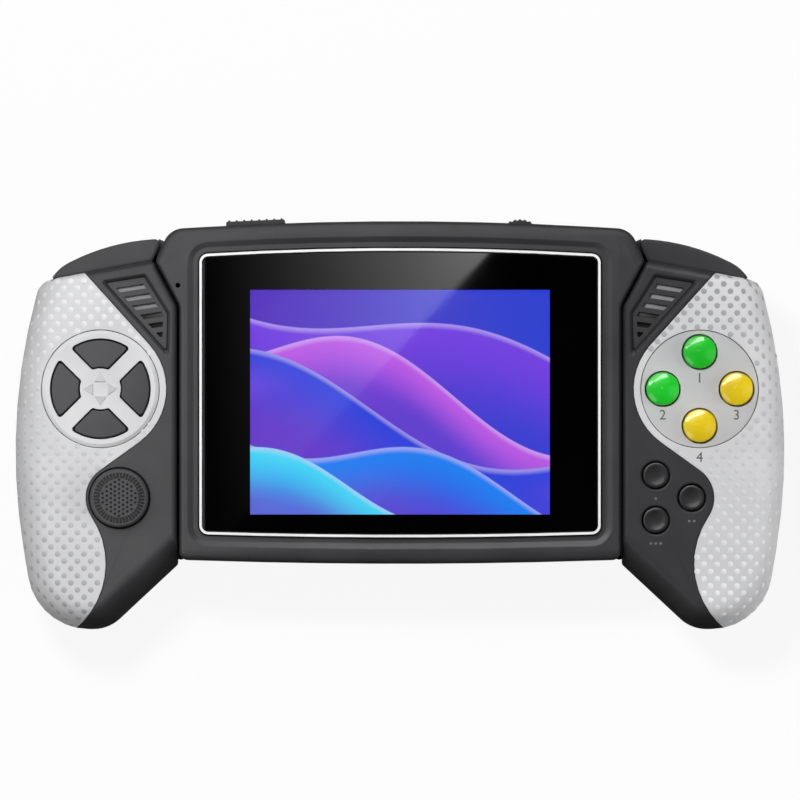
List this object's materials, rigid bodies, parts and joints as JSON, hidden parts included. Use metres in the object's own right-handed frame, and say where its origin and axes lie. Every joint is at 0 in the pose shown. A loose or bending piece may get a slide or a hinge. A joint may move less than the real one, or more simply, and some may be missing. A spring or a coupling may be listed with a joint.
{
  "type": "handheld game console",
  "caption": "Landscape handheld game console with a wide colour screen between two moulded grips, sliding stick, direction keys, round buttons and shoulder buttons.",
  "frame": {"origin": "middle of the bounding box at table level, with the console lying on its back on the two grips", "axes": "+X to the right of the screen, +Y to the top edge of the console, +Z out of the screen"},
  "size_m": [0.1804, 0.0964, 0.0375],
  "materials": {
    "shell": "fine moulded texture, dark grey",
    "key_plastic": "satin, dark grey",
    "panel": "silver lacquer",
    "plate": "silver lacquer, smooth",
    "trim": "white gloss",
    "lens": "clear acrylic with a black printed border",
    "screen_glass": "lit liquid crystal panel",
    "steel": "plated sheet steel",
    "board": "green solder mask",
    "ribbon": "amber film",
    "pouch": "plain label",
    "contact": "gold plated",
    "speaker": "black",
    "rubber": "silicone",
    "green_button": "gloss green",
    "yellow_button": "gloss yellow",
    "control": "satin, near black",
    "clear_pipe": "clear"
  },
  "bodies": {
    "case": {"centre_front_shell": "shell", "centre_rear_shell": "shell", "left_grip_front": "shell", "right_grip_front": "shell", "left_grip_rear": "shell", "right_grip_rear": "shell", "left_grille": "shell", "right_grille": "shell", "left_grip_panel": "panel", "right_grip_panel": "panel", "dpad_plate": "plate", "button_plate": "plate", "lens_trim": "trim", "lens": "lens", "lcd_glass": "screen_glass", "lcd_frame": "steel", "usb_port": "steel", "power_switch": "steel", "left_shoulder_switch": "steel", "right_shoulder_switch": "steel", "case_screws": "steel", "board_screws": "steel", "main_board": "board", "left_key_board": "board", "right_key_board": "board", "lcd_ribbon": "ribbon", "left_ribbon": "ribbon", "right_ribbon": "ribbon", "battery": "pouch", "battery_contacts": "contact", "left_speaker": "speaker", "right_speaker": "speaker", "dpad_rubber": "rubber", "face_rubber": "rubber", "menu_rubber": "rubber", "volume_pot": "control", "stick_base": "control", "av_jack": "control", "indicator_lens": "clear_pipe"},
    "dpad_up": {"dpad_up_key": "key_plastic"},
    "dpad_down": {"dpad_down_key": "key_plastic"},
    "dpad_left": {"dpad_left_key": "key_plastic"},
    "dpad_right": {"dpad_right_key": "key_plastic"},
    "face_top": {"face_button_top": "green_button"},
    "face_bottom": {"face_button_bottom": "yellow_button"},
    "face_left": {"face_button_left": "green_button"},
    "face_right": {"face_button_right": "yellow_button"},
    "menu_upper": {"menu_button_upper": "key_plastic"},
    "menu_side": {"menu_button_side": "key_plastic"},
    "menu_lower": {"menu_button_lower": "key_plastic"},
    "stick_carriage": {"stick_slider": "control"},
    "stick": {"stick_cap": "key_plastic", "stick_stem": "key_plastic"},
    "power_slider": {"power_knob": "control"},
    "volume": {"volume_wheel": "control"},
    "left_shoulder": {"left_shoulder_button": "shell"},
    "right_shoulder": {"right_shoulder_button": "shell"},
    "door": {"battery_door": "shell"}
  },
  "joints": [
    {"name": "dpad_up_press", "type": "slide", "parent": "case", "child": "dpad_up", "axis": [0, 0, -1], "range_m": [0, 0.0009], "stiffness_N_per_m": 900, "deforming": ["dpad_rubber"]},
    {"name": "dpad_down_press", "type": "slide", "parent": "case", "child": "dpad_down", "axis": [0, 0, -1], "range_m": [0, 0.0009], "stiffness_N_per_m": 900, "deforming": ["dpad_rubber"]},
    {"name": "dpad_left_press", "type": "slide", "parent": "case", "child": "dpad_left", "axis": [0, 0, -1], "range_m": [0, 0.0009], "stiffness_N_per_m": 900, "deforming": ["dpad_rubber"]},
    {"name": "dpad_right_press", "type": "slide", "parent": "case", "child": "dpad_right", "axis": [0, 0, -1], "range_m": [0, 0.0009], "stiffness_N_per_m": 900, "deforming": ["dpad_rubber"]},
    {"name": "face_top_press", "type": "slide", "parent": "case", "child": "face_top", "axis": [0, 0, -1], "range_m": [0, 0.0012], "stiffness_N_per_m": 900, "deforming": ["face_rubber"]},
    {"name": "face_bottom_press", "type": "slide", "parent": "case", "child": "face_bottom", "axis": [0, 0, -1], "range_m": [0, 0.0012], "stiffness_N_per_m": 900, "deforming": ["face_rubber"]},
    {"name": "face_left_press", "type": "slide", "parent": "case", "child": "face_left", "axis": [0, 0, -1], "range_m": [0, 0.0012], "stiffness_N_per_m": 900, "deforming": ["face_rubber"]},
    {"name": "face_right_press", "type": "slide", "parent": "case", "child": "face_right", "axis": [0, 0, -1], "range_m": [0, 0.0012], "stiffness_N_per_m": 900, "deforming": ["face_rubber"]},
    {"name": "menu_upper_press", "type": "slide", "parent": "case", "child": "menu_upper", "axis": [0, 0, -1], "range_m": [0, 0.0007], "stiffness_N_per_m": 900, "deforming": ["menu_rubber"]},
    {"name": "menu_side_press", "type": "slide", "parent": "case", "child": "menu_side", "axis": [0, 0, -1], "range_m": [0, 0.0007], "stiffness_N_per_m": 900, "deforming": ["menu_rubber"]},
    {"name": "menu_lower_press", "type": "slide", "parent": "case", "child": "menu_lower", "axis": [0, 0, -1], "range_m": [0, 0.0007], "stiffness_N_per_m": 900, "deforming": ["menu_rubber"]},
    {"name": "stick_x", "type": "slide", "parent": "case", "child": "stick_carriage", "axis": [1, 0, 0], "range_m": [-0.0016, 0.0016], "stiffness_N_per_m": 150},
    {"name": "stick_y", "type": "slide", "parent": "stick_carriage", "child": "stick", "axis": [0, 1, 0], "range_m": [-0.0016, 0.0016], "stiffness_N_per_m": 150},
    {"name": "power_slide", "type": "slide", "parent": "case", "child": "power_slider", "axis": [0.9991, 0.0433, 0], "range_m": [0, 0.003]},
    {"name": "volume_turn", "type": "hinge", "parent": "case", "child": "volume", "pos_m": [0.0281, 0.04204, 0.0263], "axis": [0, 0, 1], "range_deg": [-150, 150]},
    {"name": "left_shoulder_press", "type": "slide", "parent": "case", "child": "left_shoulder", "axis": [0.1805, -0.9836, 0], "range_m": [0, 0.0007], "stiffness_N_per_m": 1200},
    {"name": "right_shoulder_press", "type": "slide", "parent": "case", "child": "right_shoulder", "axis": [-0.1805, -0.9836, 0], "range_m": [0, 0.0007], "stiffness_N_per_m": 1200},
    {"name": "door_slide", "type": "slide", "parent": "case", "child": "door", "axis": [0, -1, 0], "range_m": [0, 0.048]}
  ]
}
